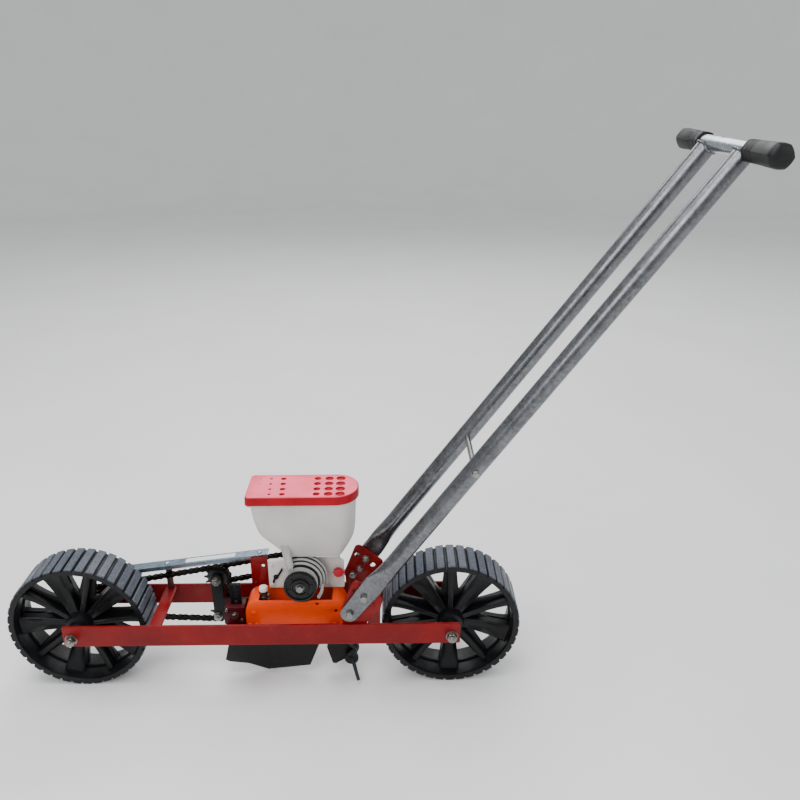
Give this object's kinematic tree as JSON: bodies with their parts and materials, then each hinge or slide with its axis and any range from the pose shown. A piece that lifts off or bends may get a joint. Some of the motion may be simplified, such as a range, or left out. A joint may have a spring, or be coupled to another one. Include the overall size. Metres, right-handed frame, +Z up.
{
  "type": "push seeder",
  "caption": "Hand-pushed row seeder: lugged wheels in a flat-bar frame, chain-driven seed roller under a lidded hopper, furrow opener, soil coverer and twin-tube handle.",
  "frame": {"origin": "on the ground under the middle of the overall length and width", "axes": "+X to the rear (towards the handlebar), +Y to the right-hand side of someone facing the front wheel from behind the handle, +Z up"},
  "size_m": [0.99, 0.3, 0.7899],
  "materials": {
    "wheel": "moulded",
    "zinc": "zinc plated",
    "red_paint": "gloss",
    "orange_paint": "gloss",
    "maroon_paint": "gloss",
    "black_paint": "satin",
    "clear_plastic": "clear",
    "milky_plastic": "translucent",
    "black_plastic": "moulded",
    "red_plastic": "gloss",
    "galvanised": "galvanised",
    "grip_rubber": "matte",
    "steel": "machined",
    "chain_steel": "oiled",
    "grey_steel": "dull"
  },
  "bodies": {
    "frame": {"front_axle": "zinc", "rear_axle": "zinc", "front_axle_nut": "zinc", "rear_axle_nut": "zinc", "rail_left": "red_paint", "rail_right": "red_paint", "front_cross": "red_paint", "middle_cross": "red_paint", "base_cross": "red_paint", "rear_cross": "red_paint", "roller_base": "orange_paint", "roller_housing": "clear_plastic", "hopper_back": "milky_plastic", "hopper": "milky_plastic", "hold_down_screw": "zinc", "bracket_left": "red_paint", "bracket_right": "red_paint", "pivot_bolt_left": "zinc", "pivot_bolt_right": "zinc", "bearing_plate": "black_paint", "idler_stud": "zinc", "drive_chain": "chain_steel", "roller_chain": "chain_steel", "chain_cover": "galvanised", "cover_post": "red_paint", "cover_stay": "zinc", "opener_clamp": "maroon_paint", "clamp_screw": "zinc", "coverer_arm": "black_paint"},
    "front_wheel": {"front_wheel": "wheel", "drive_sprocket": "steel"},
    "rear_wheel": {"rear_wheel": "wheel"},
    "countershaft": {"countershaft": "zinc", "counter_sprocket": "steel", "transfer_sprocket": "steel"},
    "idler": {"idler_sprocket": "steel"},
    "seed_roller": {"seed_roller": "milky_plastic", "roller_shaft": "zinc", "roller_knob": "black_plastic", "roller_sprocket": "steel"},
    "lid": {"hopper_lid": "red_plastic"},
    "latch": {"latch_knob": "red_plastic"},
    "handle": {"handle_tube_left": "galvanised", "handle_tube_right": "galvanised", "clamp_bolt_left": "zinc", "clamp_bolt_right": "zinc", "brace_rod": "zinc", "handlebar": "galvanised", "grip_left": "grip_rubber", "grip_right": "grip_rubber"},
    "opener": {"opener_shoe": "black_paint", "opener_stem": "black_paint"},
    "coverer": {"soil_coverer": "grey_steel"}
  },
  "joints": [
    {"name": "front_wheel_spin", "type": "hinge", "parent": "frame", "child": "front_wheel", "pos_m": [-0.39296, 0, 0.102], "axis": [0, 1, 0], "continuous": true},
    {"name": "rear_wheel_spin", "type": "hinge", "parent": "frame", "child": "rear_wheel", "pos_m": [0.15704, 0, 0.102], "axis": [0, 1, 0], "continuous": true},
    {"name": "countershaft_spin", "type": "hinge", "parent": "frame", "child": "countershaft", "pos_m": [-0.19696, 0.038, 0.144], "axis": [0, 1, 0], "continuous": true},
    {"name": "idler_spin", "type": "hinge", "parent": "frame", "child": "idler", "pos_m": [-0.19896, 0.038, 0.08], "axis": [0, 1, 0], "continuous": true},
    {"name": "seed_roller_spin", "type": "hinge", "parent": "frame", "child": "seed_roller", "pos_m": [-0.06196, 0, 0.172], "axis": [0, 1, 0], "continuous": true},
    {"name": "lid_lift", "type": "slide", "parent": "frame", "child": "lid", "axis": [0, 0, 1], "range_m": [0, 0.12]},
    {"name": "latch_turn", "type": "hinge", "parent": "frame", "child": "latch", "pos_m": [-0.00896, 0.008, 0.172], "axis": [0, 1, 0], "range_deg": [-90, 0]},
    {"name": "handle_angle", "type": "hinge", "parent": "frame", "child": "handle", "pos_m": [0.01004, 0, 0.142], "axis": [0, 1, 0], "range_deg": [-24, 26]},
    {"name": "opener_depth", "type": "slide", "parent": "frame", "child": "opener", "axis": [0, 0, 1], "range_m": [-0.02, 0.012]},
    {"name": "coverer_swing", "type": "hinge", "parent": "frame", "child": "coverer", "pos_m": [0.00804, 0, 0.031], "axis": [0, 1, 0], "range_deg": [-30, 30]}
  ],
  "couplings": [
    {"joint": "countershaft_spin", "follows": "front_wheel_spin", "ratio": 1.3333},
    {"joint": "idler_spin", "follows": "front_wheel_spin", "ratio": 2},
    {"joint": "seed_roller_spin", "follows": "front_wheel_spin", "ratio": 1.3333}
  ]
}
